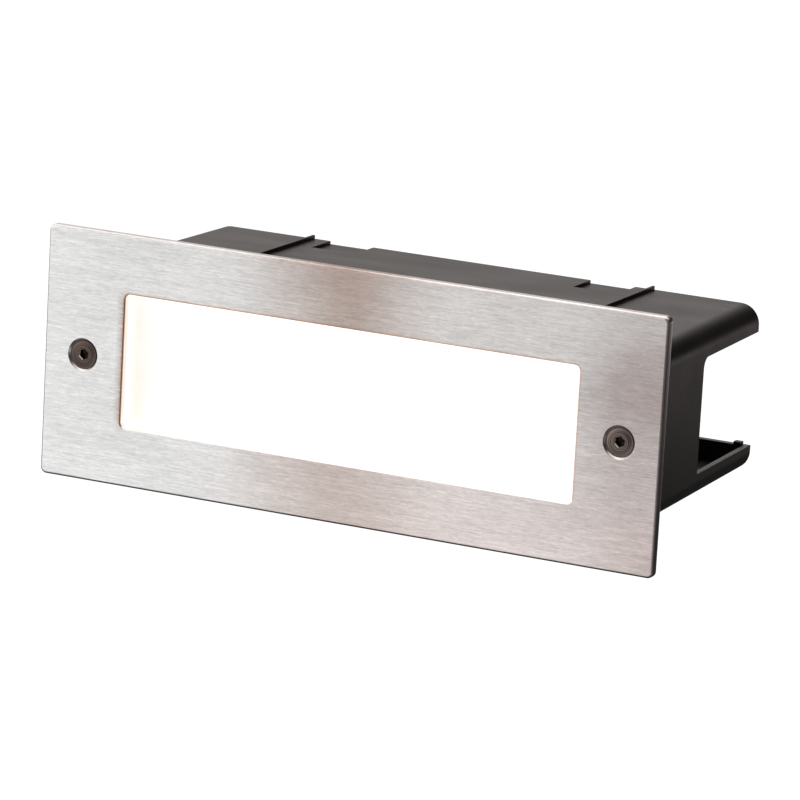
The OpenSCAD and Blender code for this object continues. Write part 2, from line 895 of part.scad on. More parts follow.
module earth_lead() {
    tag_y = floor_back_y + earth_boss_l + tag_barrel_d / 2;
    from_x = tag_barrel_x + tag_barrel_l;
    entry_x = block_x - block_l / 2 - lead_d / 2;
    to_x = block_x - block_l / 4;
    handle = earth_handle_share * (entry_x - from_x);
    color("#6f9a3a") {
        lead([
            [from_x, tag_y, earth_z],
            [from_x + handle, tag_y, earth_z],
            [entry_x - handle, pole_wire_y, pole_z(1)],
            [entry_x, pole_wire_y, pole_z(1)]
        ], lead_d, [0, 1, 0]);
        lead([
            [entry_x, pole_wire_y, pole_z(1)],
            [entry_x + lead_d, pole_wire_y, pole_z(1)],
            [to_x - lead_d, pole_wire_y, pole_z(1)],
            [to_x, pole_wire_y, pole_z(1)]
        ], lead_d, [0, 1, 0]);
    }
}

// Rear cover with its seal and screws

module cover_gasket() {
    color("#262425")
        along_y(rear_rim_y, cover_gasket_t) difference() {
            round_rect(rear_w, rear_h, rear_r);
            difference() {
                round_rect(rear_inner_w, rear_inner_h, rear_inner_r);
                post_places() circle(d = post_d);
            }
            post_places() circle(d = small_hole_d);
        }
}

module rear_cover() {
    color("#3a3b3d") difference() {
        along_y(cover_y, cover_t) round_rect(rear_w, rear_h, rear_r);
        for (sx = [-1, 1], sz = [-1, 1])
            bar_y(sx * post_x, cover_y - over, sz * post_z, small_hole_d, cover_t + 2 * over);
        bar_y(gland_x, cover_y - over, 0, gland_d + 2 * run_gap, cover_t + 2 * over);
    }
}

module cover_screws() {
    color("#b9b9b7")
        for (sx = [-1, 1], sz = [-1, 1])
            pan_screw(sx * post_x, cover_back_y, sz * post_z, cover_screw_l, -1);
}

// Compression gland: body with claws, washer, locknut, rubber seal, slip ring and cap

module gland_body() {
    color("#4a4b4d") difference() {
        union() {
            bar_y(gland_x, cover_y - spigot_l, 0, gland_d, hex_y - cover_y + spigot_l);
            nut_y(gland_x, hex_y, 0, gland_af, hex_t, false, true);
            bar_y(gland_x, sleeve_y, 0, sleeve_d, sleeve_l);
        }
        bar_y(gland_x, cover_y - spigot_l - over, 0, gland_bore, sleeve_y - cover_y + spigot_l + 2 * over);
        bar_y(gland_x, sleeve_y, 0, sleeve_bore, sleeve_l + over);
        for (i = [0 : claw_count / 2 - 1])
            translate([gland_x, sleeve_y + sleeve_l - claw_l / 2 + over / 2, 0])
                rotate([0, 360 * i / claw_count, 0])
                    cube([sleeve_d + 2 * over, claw_l + over, claw_slit], center = true);
    }
}

module gland_washer() {
    color("#262425")
        ring_along_y(gland_x, cover_back_y, 0, gland_washer_d, gland_d + 2 * run_gap, gland_washer_t);
}

module gland_locknut() {
    color("#4a4b4d") difference() {
        nut_y(gland_x, cover_y - locknut_t, 0, locknut_af, locknut_t, true, false);
        bar_y(gland_x, cover_y - locknut_t - over, 0, gland_d + 2 * run_gap, locknut_t + 2 * over);
    }
}

module gland_seal() {
    color("#1f1e1e") ring_along_y(gland_x, seal_y, 0, sleeve_bore - 2 * seal_gap, cable_d, seal_l);
}

module gland_slip_ring() {
    color("#d9d5cc") ring_along_y(gland_x, ring_y, 0, ring_d, ring_bore, ring_t);
}

// The cap's flats run out into a dome, which narrows along a quarter of an ellipse
module gland_cap() {
    end_r = nut_end_share * gland_af / 2;
    wide_r = hex_r(gland_af) + over;
    fall = wide_r - cap_top_d / 2;
    color("#4a4b4d") difference() {
        intersection() {
            hex_y_bar(gland_x, cap_y, 0, gland_af, cap_l);
            turned_y(gland_x, cap_y, 0, concat(
                [[0, 0], [end_r, 0], [wide_r, nut_slope_share * (wide_r - end_r)]],
                [for (i = [0 : dome_steps])
                    let (a = 90 * i / dome_steps)
                    [cap_top_d / 2 + fall * cos(a), cap_hex_l + dome_l * sin(a)]],
                [[0, cap_l]]
            ));
        }
        bar_y(gland_x, cap_y - over, 0, cap_bore, cap_roof_y - cap_y + over);
        bar_y(gland_x, cap_y, 0, cap_mouth_d, cap_l + over);
    }
    color("#4a4b4d")
        ring_along_y(gland_x, cap_nose_y, 0, cap_nose_d, cap_mouth_d, cap_roof_y - cap_nose_y + over);
}

// Face screws with hexagon sockets, and the nylon washers that keep them in the insert

module face_screw(x) {
    color("#8d8680") difference() {
        union() {
            bar_y(x, head_y, 0, screw_head_d, head_band);
            cone_y(x, head_y + head_band, 0, screw_head_d, screw_d, head_cone);
            bar_y(x, head_y + head_cone / 2, 0, screw_d, screw_l - head_cone / 2 - tip_chamfer);
            cone_y(x, head_y + screw_l - tip_chamfer, 0, screw_d, screw_d - 2 * tip_chamfer, tip_chamfer);
        }
        hex_y_bar(x, head_y - over, 0, socket_af, socket_depth + over);
    }
}

module captive_washer(x) {
    color("#e6e2d8") ring_along_y(x, washer_y, 0, washer_d, screw_d + 2 * run_gap, washer_t);
}

module face_screw_left() {
    face_screw(-screw_spacing / 2);
}

module face_screw_right() {
    face_screw(screw_spacing / 2);
}

module captive_washer_left() {
    captive_washer(-screw_spacing / 2);
}

module captive_washer_right() {
    captive_washer(screw_spacing / 2);
}

mounting_box();
threaded_inserts();
face_plate();
face_gasket();
diffuser_glass();
glass_seal();
lamp_housing();
reflector();
led_board();
led_chips();
board_connector();
board_screws();
lead_grommet();
led_leads();
driver_case();
driver_lid();
driver_screws();
terminal_block();
terminal_screws();
mains_leads();
earth_tag();
earth_screw();
earth_lead();
cover_gasket();
rear_cover();
cover_screws();
gland_body();
gland_washer();
gland_locknut();
gland_seal();
gland_slip_ring();
gland_cap();
captive_washer_left();
face_screw_left();
captive_washer_right();
face_screw_right();
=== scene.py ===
import math

import bmesh
import bpy
from mathutils import Matrix, Vector


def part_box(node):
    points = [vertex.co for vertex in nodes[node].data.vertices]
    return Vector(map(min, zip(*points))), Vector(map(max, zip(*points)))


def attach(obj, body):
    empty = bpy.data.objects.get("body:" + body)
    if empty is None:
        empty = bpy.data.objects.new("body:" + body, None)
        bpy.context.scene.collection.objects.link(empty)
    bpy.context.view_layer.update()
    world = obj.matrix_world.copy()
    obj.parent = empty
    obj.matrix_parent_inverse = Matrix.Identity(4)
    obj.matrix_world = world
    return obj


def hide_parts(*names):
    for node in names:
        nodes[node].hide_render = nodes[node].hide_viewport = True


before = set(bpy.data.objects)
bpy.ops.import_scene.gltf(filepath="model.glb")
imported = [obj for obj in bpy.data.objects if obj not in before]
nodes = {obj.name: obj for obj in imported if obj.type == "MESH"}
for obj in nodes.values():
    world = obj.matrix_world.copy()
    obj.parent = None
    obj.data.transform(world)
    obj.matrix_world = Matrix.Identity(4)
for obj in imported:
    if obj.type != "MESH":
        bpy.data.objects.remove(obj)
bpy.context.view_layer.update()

MM = 0.001

# Camera
# A long lens stands a little to the right of the light and a little above it, rolled by a few
# degrees. Its place is counted from the middle of the steel face's front.
camera_turn = math.radians(25.296)
camera_rise = math.radians(13.026)
camera_roll = math.radians(3.198)
camera_distance = 1734.5 * MM
camera_right = 18.66 * MM
camera_down = 0.80 * MM
camera_lens = 233.03

face_low, face_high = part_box("face_plate")
face_middle = Vector((0, face_low.y, 0))
camera_back = Vector((
    math.sin(camera_turn) * math.cos(camera_rise),
    -math.cos(camera_turn) * math.cos(camera_rise),
    math.sin(camera_rise),
))
level_right = Vector((math.cos(camera_turn), math.sin(camera_turn), 0))
level_up = camera_back.cross(level_right)
camera_x = math.cos(camera_roll) * level_right + math.sin(camera_roll) * level_up
camera_y = math.cos(camera_roll) * level_up - math.sin(camera_roll) * level_right

camera = bpy.data.objects.new("camera", bpy.data.cameras.new("camera"))
camera.data.lens = camera_lens
camera.data.sensor_width = 36
camera.data.clip_start = 0.05
camera.data.clip_end = 50
camera.matrix_world = Matrix((
    (camera_x.x, camera_y.x, camera_back.x, 0),
    (camera_x.y, camera_y.y, camera_back.y, 0),
    (camera_x.z, camera_y.z, camera_back.z, 0),
    (0, 0, 0, 1),
))
camera.location = (
    face_middle + camera_distance * camera_back + camera_right * camera_x - camera_down * camera_y
)
bpy.context.scene.collection.objects.link(camera)
bpy.context.scene.camera = camera


# Moulded wall box
# The black box is bedded in the masonry. It is injection moulded in one piece, drafted from the
# mould, with a band left open round its sides and back for the supply cable.
def shader_node(tree, kind, inputs=None, **settings):
    """A node with its settings and its inputs, which are values or other nodes' sockets."""
    made = tree.nodes.new(kind)
    for key, value in settings.items():
        setattr(made, key, value)
    for key, value in (inputs or {}).items():
        if isinstance(value, bpy.types.NodeSocket):
            tree.links.new(value, made.inputs[key])
        else:
            made.inputs[key].default_value = value
    return made


def start_finish(name, color, roughness, metallic=0.0):
    """A material, its node tree, its shader, and the place on the piece in millimetres."""
    material = bpy.data.materials.new(name)
    material.use_nodes = True
    tree = material.node_tree
    shader = tree.nodes["Principled BSDF"]
    shader.inputs["Base Color"].default_value = (*color, 1)
    shader.inputs["Roughness"].default_value = roughness
    shader.inputs["Metallic"].default_value = metallic
    place = shader_node(tree, "ShaderNodeTexCoord").outputs["Object"]
    place_mm = shader_node(
        tree, "ShaderNodeVectorMath", {0: place, "Scale": 1 / MM}, operation="SCALE"
    ).outputs[0]
    return material, tree, shader, place_mm


def grain(tree, place_mm, size, detail, fall=0.55):
    """Noise whose spots measure about size, in millimetres along X, Y and Z."""
    scaled = shader_node(
        tree, "ShaderNodeVectorMath", {0: place_mm, 1: [1 / s for s in size]}, operation="MULTIPLY"
    ).outputs[0]
    noise = shader_node(
        tree, "ShaderNodeTexNoise", {"Vector": scaled, "Scale": 1.0, "Detail": detail, "Roughness": fall}
    )
    return noise.outputs[0]


def spread(tree, value, start, end, low, high):
    """value, counted from start to end, turned into low to high."""
    return shader_node(
        tree, "ShaderNodeMapRange", {0: value, 1: start, 2: end, 3: low, 4: high}
    ).outputs[0]


def sums(tree, operation, value, *others):
    """The sum, the product or the like of two or more values, taken from left to right."""
    for other in others:
        value = shader_node(tree, "ShaderNodeMath", {0: value, 1: other}, operation=operation).outputs[0]
    return value


def tint(tree, amount, first, second):
    """The first colour where amount is 0, the second where it is 1."""
    mix = shader_node(tree, "ShaderNodeMix", {0: amount}, data_type="RGBA")
    for index, color in ((6, first), (7, second)):
        if isinstance(color, bpy.types.NodeSocket):
            tree.links.new(color, mix.inputs[index])
        else:
            mix.inputs[index].default_value = (*color, 1)
    return mix.outputs[2]


def color_by(tree, shader, pattern, start, end, first, second):
    """Colours the piece by a pattern: the first colour up to start, the second from end on."""
    color = tint(tree, spread(tree, pattern, start, end, 0, 1), first, second)
    tree.links.new(color, shader.inputs["Base Color"])


def roughness_by(tree, shader, pattern, low, high):
    """Makes the piece rougher, from low to high, where the pattern rises."""
    tree.links.new(spread(tree, pattern, 0.3, 0.7, low, high), shader.inputs["Roughness"])


def relief(tree, shader, height, depth_mm):
    """Presses a height pattern into the surface, depth_mm deep."""
    bump = shader_node(
        tree, "ShaderNodeBump", {"Height": height, "Distance": depth_mm * MM, "Strength": 1.0}
    )
    tree.links.new(bump.outputs[0], shader.inputs["Normal"])


def section(y, width, height, radius):
    """A round-cornered outline across Y, as points."""
    steps = 10
    points = []
    for quarter in range(4):
        side = 1 if quarter in (0, 3) else -1
        top = 1 if quarter < 2 else -1
        for i in range(steps + 1):
            angle = math.radians(90 * (quarter + i / steps))
            points.append(Vector((
                side * (width / 2 - radius) + radius * math.cos(angle),
                y,
                top * (height / 2 - radius) + radius * math.sin(angle),
            )))
    return points


def loft(name, rings, endless=False):
    """A closed skin through rings of equally many points. Flat ends close it, unless it is endless."""
    shape = bmesh.new()
    laid = [[shape.verts.new(p) for p in ring] for ring in rings]
    pairs = list(zip(laid, laid[1:])) + ([(laid[-1], laid[0])] if endless else [])
    for near, far in pairs:
        for i in range(len(near)):
            j = (i + 1) % len(near)
            shape.faces.new((near[i], far[i], far[j], near[j]))
    if not endless:
        shape.faces.new(laid[0])
        shape.faces.new(laid[-1])
    bmesh.ops.recalc_face_normals(shape, faces=shape.faces)
    mesh = bpy.data.meshes.new(name)
    shape.to_mesh(mesh)
    shape.free()
    piece = bpy.data.objects.new(name, mesh)
    bpy.context.scene.collection.objects.link(piece)
    return piece


def block(name, low, high):
    """A plain block between two corners, as a cutter, a web or a lug."""
    rings = [
        [Vector((x, y, z)) for x, z in
         ((low[0], low[2]), (high[0], low[2]), (high[0], high[2]), (low[0], high[2]))]
        for y in (low[1], high[1])
    ]
    return loft(name, rings)


def turned(name, profile, x, sides=64):
    """A piece turned on a lathe along Y, at x. The profile's points are radius and Y."""
    rings = []
    for radius, y in profile:
        rings.append([
            Vector((
                x + radius * math.cos(2 * math.pi * k / sides),
                y,
                radius * math.sin(2 * math.pi * k / sides),
            ))
            for k in range(sides)
        ])
    return loft(name, rings)


def settle(piece):
    """Applies the piece's modifiers."""
    bpy.context.view_layer.update()
    graph = bpy.context.evaluated_depsgraph_get()
    mesh = bpy.data.meshes.new_from_object(piece.evaluated_get(graph))
    spent = piece.data
    piece.modifiers.clear()
    piece.data = mesh
    bpy.data.meshes.remove(spent)


def work(piece, tools, operation):
    """Cuts tools out of the piece, or joins them to it."""
    for tool in tools:
        step = piece.modifiers.new(operation, "BOOLEAN")
        step.operation = operation
        step.solver = "EXACT"
        step.object = tool
        settle(piece)
        spent = tool.data
        bpy.data.objects.remove(tool)
        bpy.data.meshes.remove(spent)


def cut(piece, *tools):
    work(piece, tools, "DIFFERENCE")


def fuse(piece, *tools):
    work(piece, tools, "UNION")


def break_edges(piece, width_mm):
    """Rounds the edges of the piece that aren't blunt, and keeps its flats flat."""
    same_place = 0.01 * width_mm * MM
    same_plane = math.radians(0.4)
    blunt = math.radians(30)
    shape = bmesh.new()
    shape.from_mesh(piece.data)
    bmesh.ops.remove_doubles(shape, verts=shape.verts, dist=same_place)
    bmesh.ops.dissolve_limit(shape, angle_limit=same_plane, verts=shape.verts, edges=shape.edges)
    for face in shape.faces:
        face.smooth = True
    shape.to_mesh(piece.data)
    shape.free()
    step = piece.modifiers.new("edges", "BEVEL")
    step.width = width_mm * MM
    step.segments = 2
    step.limit_method = "ANGLE"
    step.angle_limit = blunt
    step.use_clamp_overlap = True
    flats = piece.modifiers.new("flats", "WEIGHTED_NORMAL")
    flats.mode = "FACE_AREA"
    flats.weight = 100
    settle(piece)
    return piece


def dress(piece, material, body, cad_node):
    """Gives a piece its finish, its body and the CAD node that it stands for."""
    piece.data.materials.clear()
    piece.data.materials.append(material)
    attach(piece, body)
    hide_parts(cad_node)


box_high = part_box("mounting_box")[1]
fin_height = 1.3 * MM
fin_place = 66 * MM
fin_thick = 0.9 * MM
fin_sink = 0.5 * MM
box_depth = box_high.y
box_front_w = 2 * box_high.x
box_front_h = 2 * (box_high.z - fin_height)
side_draft = 3 * MM
top_draft = 0.5 * MM
box_wall = 2 * MM
box_back_wall = 2.5 * MM
box_edge_radius = 7 * MM
pocket_place = 50.75 * MM
pocket_wide = 17 * MM
pocket_long = 15 * MM
pocket_deep = 1.1 * MM
band_half = 20 * MM
band_start = 48.5 * MM
band_upper_radius = 3.7 * MM
band_lower_radius = 1 * MM
fillet_steps = 8
boss_place = 100.5 * MM
boss_radius = 5.2 * MM
boss_start = 16 * MM
boss_end = 29 * MM
web_inset = 2.3 * MM
insert_bore_radius = 3.5 * MM
lug_place = box_front_w / 2 - side_draft - box_wall - 3.4 * MM
lug_wide = 2.7 * MM
lug_height = 1 * MM
overrun = 1 * MM


def box_section(y, inset):
    """The drafted box across one depth, or its hollow where it is inset by the wall."""
    return section(
        y,
        box_front_w - 2 * side_draft * y / box_depth - 2 * inset,
        box_front_h - 2 * top_draft * y / box_depth - 2 * inset,
        box_edge_radius - inset,
    )


def cable_band():
    """The cutter for the open band: its upper front corner has a wide fillet, its lower one a small one."""
    outline = []
    upper = (band_start + band_upper_radius, band_half - band_upper_radius, band_upper_radius, 90)
    lower = (band_start + band_lower_radius, -band_half + band_lower_radius, band_lower_radius, 180)
    for y, z, radius, first in (upper, lower):
        for i in range(fillet_steps + 1):
            angle = math.radians(first + 90 * i / fillet_steps)
            outline.append((y + radius * math.cos(angle), z + radius * math.sin(angle)))
    outline += [(box_depth + overrun, -band_half), (box_depth + overrun, band_half)]
    reach = box_front_w / 2 + overrun
    return loft("band", [[Vector((x, y, z)) for y, z in outline] for x in (-reach, reach)])


def fin(side, top):
    """A thin fin along the whole depth, which keys the box into the mortar."""
    low = box_front_h / 2 - fin_sink
    outline = [
        (0, low), (0, box_front_h / 2 + fin_height),
        (box_depth, box_front_h / 2 - top_draft + fin_height), (box_depth, low - top_draft),
    ]
    return loft("fin", [
        [Vector((x, y, top * z)) for y, z in outline]
        for x in (side * fin_place - fin_thick / 2, side * fin_place + fin_thick / 2)
    ])


def pocket(side, top):
    """The cutter for a shallow pocket at the back of the box's top or underside."""
    floor_z = box_front_h / 2 - top_draft - pocket_deep
    heights = sorted((top * floor_z, top * (floor_z + 2 * pocket_deep)))
    return block(
        "pocket",
        (side * pocket_place - pocket_wide / 2, box_depth - pocket_long, heights[0]),
        (side * pocket_place + pocket_wide / 2, box_depth + overrun, heights[1]),
    )


def boss(side):
    """A post for a brass insert, with the web that ties it to the box's end wall."""
    post = turned(
        "boss", [(boss_radius, boss_start), (boss_radius, boss_end)], x=side * boss_place
    )
    ends = sorted((side * boss_place, side * (box_front_w / 2 - web_inset)))
    web = block("web", (ends[0], boss_start, -boss_radius), (ends[1], boss_end, boss_radius))
    fuse(post, web)
    return post


def insert_bore(side):
    profile = [
        (insert_bore_radius, boss_start - overrun), (insert_bore_radius, boss_end + overrun)
    ]
    return turned("bore", profile, x=side * boss_place)


def lug(side):
    """A small lug that stands on the low wall's end, beside the open back."""
    ends = sorted((side * lug_place, side * (lug_place + lug_wide)))
    return block(
        "lug",
        (ends[0], box_depth - box_back_wall, -band_half - lug_height),
        (ends[1], box_depth, -band_half + lug_height),
    )


both = (-1, 1)
wall_box = loft("moulded_wall_box", [
    box_section(box_depth - box_back_wall, box_wall),
    box_section(0, box_wall),
    box_section(0, 0),
    box_section(box_depth, 0),
])
fuse(wall_box, *[fin(side, top) for side in both for top in both])
fuse(wall_box, *[boss(side) for side in both])
cut(wall_box, cable_band())
cut(wall_box, *[pocket(side, top) for side in both for top in both])
cut(wall_box, *[insert_bore(side) for side in both])
fuse(wall_box, *[lug(side) for side in both])
break_edges(wall_box, width_mm=0.3)


def box_plastic():
    """Black moulded plastic: a fine spark-eroded grain, with faint flow marks from the mould."""
    material, tree, shader, place = start_finish("black_moulded_plastic", (0.008, 0.0065, 0.006), 0.36)
    flow = grain(tree, place, (40, 12, 18), 4)
    fine = grain(tree, place, (0.35, 0.35, 0.35), 2)
    color_by(tree, shader, flow, 0.35, 0.65, (0.007, 0.0046, 0.0044), (0.0112, 0.008, 0.0077))
    rough = sums(
        tree, "ADD", spread(tree, flow, 0.3, 0.7, 0.32, 0.41), spread(tree, fine, 0.3, 0.7, -0.03, 0.03)
    )
    tree.links.new(rough, shader.inputs["Roughness"])
    relief(tree, shader, fine, 0.02)
    return material


dress(wall_box, box_plastic(), "mounting_box", "mounting_box")


# Brass inserts
# Two knurled brass inserts are pressed warm into the box's bosses. Each has a plain collar in
# front, and the face screws bite in them.
def cad_finish(node, material):
    """Gives a CAD node that stays as it is its finish."""
    nodes[node].data.materials.clear()
    nodes[node].data.materials.append(material)


def brass():
    """Brass with fine rings from turning, dull in places."""
    material, tree, shader, place = start_finish("turned_brass", (0.63, 0.45, 0.2), 0.3, 1.0)
    dull = grain(tree, place, (2.5, 2.5, 2.5), 3)
    color_by(tree, shader, dull, 0.35, 0.7, (0.66, 0.48, 0.22), (0.5, 0.36, 0.17))
    turning = grain(tree, place, (4, 0.06, 4), 2)
    roughness_by(tree, shader, turning, 0.24, 0.4)
    relief(tree, shader, turning, 0.006)
    return material


brass_finish = brass()
cad_finish("threaded_inserts", brass_finish)


# Lamp housing
# The body of the insert is die cast: a flange that closes the box, a tray for the glass, and a
# ribbed chamber for the wiring. It is powder coated in dark grey.
def copy_of(node, name):
    """A new piece that starts from a CAD node's solid."""
    piece = bpy.data.objects.new(name, nodes[node].data.copy())
    bpy.context.scene.collection.objects.link(piece)
    return piece


def powder_coat():
    """Dark grey powder coat with its orange peel, paler where dust lies on it."""
    material, tree, shader, place = start_finish("powder_coated_casting", (0.045, 0.046, 0.05), 0.5)
    orange_peel = grain(tree, place, (0.9, 0.9, 0.9), 2)
    dust = grain(tree, place, (18, 18, 18), 4)
    color_by(tree, shader, dust, 0.4, 0.75, (0.042, 0.043, 0.047), (0.07, 0.07, 0.072))
    roughness_by(tree, shader, orange_peel, 0.42, 0.58)
    relief(tree, shader, orange_peel, 0.03)
    return material


powder_finish = powder_coat()
housing = break_edges(copy_of("lamp_housing", "cast_lamp_housing"), width_mm=0.25)
dress(housing, powder_finish, "lamp_insert", "lamp_housing")


# Reflector
# A white trough of glossy plastic stands between the board and the glass and sends all the light
# forward.
def white_plastic(name, color, roughness):
    """White or cream plastic, a little cloudy, with a fine skin."""
    material, tree, shader, place = start_finish(name, color, roughness)
    cloud = grain(tree, place, (14, 14, 14), 3)
    color_by(tree, shader, cloud, 0.4, 0.7, color, [c * 0.9 for c in color])
    skin = grain(tree, place, (0.5, 0.5, 0.5), 2)
    roughness_by(tree, shader, skin, roughness - 0.04, roughness + 0.06)
    relief(tree, shader, skin, 0.006)
    return material


cad_finish("reflector", white_plastic("white_trough_plastic", (0.85, 0.84, 0.8), 0.28))


# Light-emitting diodes and their board
# An aluminium board with white solder mask carries a row of warm white diodes, each a yellow
# phosphor in a small frame. Four screws hold it to the floor of the light chamber.
def solder_mask():
    """White solder mask, raised and a shade darker over the copper tracks."""
    material, tree, shader, place = start_finish("white_solder_mask", (0.82, 0.83, 0.82), 0.35)
    tracks = grain(tree, place, (6, 6, 1.2), 1)
    color_by(tree, shader, tracks, 0.52, 0.55, (0.84, 0.85, 0.84), (0.76, 0.78, 0.77))
    relief(tree, shader, tracks, 0.02)
    return material


def phosphor():
    """Yellow phosphor with fine specks, which glows warm white."""
    material, tree, shader, place = start_finish("diode_phosphor", (0.9, 0.72, 0.2), 0.4)
    speck = grain(tree, place, (0.3, 0.3, 0.3), 2)
    color_by(tree, shader, speck, 0, 1, (0.95, 0.78, 0.25), (0.85, 0.62, 0.12))
    shader.inputs["Emission Color"].default_value = (1.0, 0.82, 0.55, 1)
    shader.inputs["Emission Strength"].default_value = 3.0
    return material


def plated_steel():
    """Zinc plated steel of the small screws, with a dull bloom on it."""
    material, tree, shader, place = start_finish("zinc_plated_steel", (0.6, 0.6, 0.59), 0.3, 1.0)
    bloom = grain(tree, place, (1.5, 1.5, 1.5), 3)
    color_by(tree, shader, bloom, 0.35, 0.7, (0.64, 0.64, 0.64), (0.5, 0.49, 0.46))
    roughness_by(tree, shader, bloom, 0.24, 0.42)
    return material


zinc_finish = plated_steel()
connector_finish = white_plastic("connector_plastic", (0.82, 0.8, 0.74), 0.45)
cad_finish("led_board", solder_mask())
cad_finish("led_chips", phosphor())
cad_finish("board_connector", connector_finish)
cad_finish("board_screws", zinc_finish)


# Leads, driver and terminals
# Two leads go from the board through a rubber grommet to the driver, a potted power supply. A
# three-pole block takes the supply, and an earth lead ends in a ring tag on the casting.
def insulation(name, color):
    """The coloured skin of a lead, darker where it was handled."""
    material, tree, shader, place = start_finish(name, color, 0.38)
    handling = grain(tree, place, (5, 5, 5), 3)
    color_by(tree, shader, handling, 0.4, 0.7, color, [c * 0.75 for c in color])
    return material


def rubber(name, color, roughness):
    """Rubber with a pale bloom here and there, and a fine skin from its mould."""
    material, tree, shader, place = start_finish(name, color, roughness)
    bloom = grain(tree, place, (6, 6, 6), 4)
    color_by(tree, shader, bloom, 0.4, 0.75, color, [c * 1.6 + 0.004 for c in color])
    relief(tree, shader, grain(tree, place, (0.4, 0.4, 0.4), 2), 0.02)
    return material


black_rubber = rubber("black_rubber", (0.016, 0.016, 0.017), 0.62)
driver_finish = white_plastic("driver_plastic", (0.72, 0.71, 0.67), 0.5)
cad_finish("lead_grommet", black_rubber)
cad_finish("led_leads", insulation("red_insulation", (0.5, 0.035, 0.025)))
cad_finish("mains_leads", insulation("blue_insulation", (0.03, 0.13, 0.42)))
cad_finish("earth_lead", insulation("green_insulation", (0.14, 0.34, 0.03)))
cad_finish("driver_case", driver_finish)
cad_finish("driver_lid", driver_finish)
cad_finish("driver_screws", zinc_finish)
cad_finish("terminal_block", white_plastic("terminal_plastic", (0.78, 0.76, 0.68), 0.42))
cad_finish("terminal_screws", brass_finish)
cad_finish("earth_screw", brass_finish)
cad_finish("earth_tag", zinc_finish)


# Rear cover
# A cast lid closes the wiring chamber on a flat rubber seal. Four pan head screws hold it, and the
# cable gland passes through it.
cover = break_edges(copy_of("rear_cover", "cast_rear_cover"), width_mm=0.35)
dress(cover, powder_finish, "rear_cover", "rear_cover")
cad_finish("cover_gasket", black_rubber)
cad_finish("cover_screws", zinc_finish)


# Cable gland
# A nylon gland grips the cable and keeps water out: a body with claws, a washer, a locknut inside
# the chamber, a rubber seal, a slip ring and a domed cap.
def nylon(name, color, roughness):
    """Moulded nylon, a little cloudy, with a fine skin."""
    material, tree, shader, place = start_finish(name, color, roughness)
    cloud = grain(tree, place, (8, 8, 8), 3)
    color_by(tree, shader, cloud, 0.4, 0.7, color, [c * 1.25 for c in color])
    skin = grain(tree, place, (0.3, 0.3, 0.3), 2)
    roughness_by(tree, shader, skin, roughness - 0.05, roughness + 0.07)
    relief(tree, shader, skin, 0.008)
    return material


grey_nylon = nylon("dark_nylon", (0.045, 0.046, 0.05), 0.42)
pale_nylon = nylon("natural_nylon", (0.72, 0.7, 0.6), 0.45)
for cad_name, body, edge_mm in (
    ("gland_body", "rear_cover", 0.2),
    ("gland_locknut", "rear_cover", 0.3),
    ("gland_cap", "gland_cap", 0.3),
):
    moulding = break_edges(copy_of(cad_name, f"{cad_name}_moulding"), width_mm=edge_mm)
    dress(moulding, grey_nylon, body, cad_name)
cad_finish("gland_washer", black_rubber)
cad_finish("gland_seal", black_rubber)
cad_finish("gland_slip_ring", pale_nylon)


# Glass and its seal
# A pane of frosted glass closes the light chamber, lit from behind, a little weaker and warmer at
# its left end. A frame of white silicone in front of it seals it to the steel and glows with it.
glass_low, glass_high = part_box("diffuser_glass")
glass_w = glass_high.x - glass_low.x
glass_h = glass_high.z - glass_low.z
glass_radius = 3.8 * MM
glass_arris = 0.4 * MM


def pane_section(y, inset):
    return section(y, glass_w - 2 * inset, glass_h - 2 * inset, glass_radius - inset)


pane = loft("frosted_pane", [
    pane_section(glass_low.y, glass_arris),
    pane_section(glass_low.y + glass_arris, 0),
    pane_section(glass_high.y - glass_arris, 0),
    pane_section(glass_high.y, glass_arris),
])


def coordinates(tree, place):
    """The three numbers of a place: along, from left to right, depth, from the front back, and up."""
    return list(shader_node(tree, "ShaderNodeSeparateXYZ", {0: place}).outputs)


def lit_silicone():
    """White silicone that glows with the glass, weaker and warmer at the left end of the window."""
    material = white_plastic("white_silicone", (0.8, 0.78, 0.73), 0.5)
    tree = material.node_tree
    shader = tree.nodes["Principled BSDF"]
    along, depth = coordinates(tree, shader_node(tree, "ShaderNodeTexCoord").outputs["Object"])[:2]
    warm_end = sums(
        tree, "MULTIPLY", spread(tree, along, -84 * MM, -80 * MM, 1, 0),
        spread(tree, depth, -0.9 * MM, 0.3 * MM, 0.4, 1),
    )
    glow = tint(tree, warm_end, (1.0, 0.97, 0.92), (1.0, 0.89, 0.81))
    tree.links.new(glow, shader.inputs["Emission Color"])
    tree.links.new(spread(tree, warm_end, 0, 1, 0.9, 0.8), shader.inputs["Emission Strength"])
    return material


def lit_frosted_glass():
    """Frosted glass that glows: the light fades and warms towards the left end of the pane."""
    material, tree, shader, place = start_finish("lit_frosted_glass", (0.35, 0.34, 0.33), 0.32)
    along = coordinates(tree, place)[0]
    ripple = grain(tree, place, (9, 9, 9), 2)
    from_left = sums(tree, "ADD", along, spread(tree, ripple, 0.3, 0.7, -1.5, 1.5))
    warm_end = spread(tree, from_left, -84, -72, 1, 0)
    glow = tint(tree, warm_end, (1.0, 0.99, 0.97), (1.0, 0.9, 0.83))
    tree.links.new(glow, shader.inputs["Emission Color"])
    tree.links.new(spread(tree, warm_end, 0, 1, 0.95, 0.84), shader.inputs["Emission Strength"])
    relief(tree, shader, grain(tree, place, (0.25, 0.25, 0.25), 2), 0.01)
    return material


cad_finish("glass_seal", lit_silicone())
dress(pane, lit_frosted_glass(), "lamp_insert", "diffuser_glass")


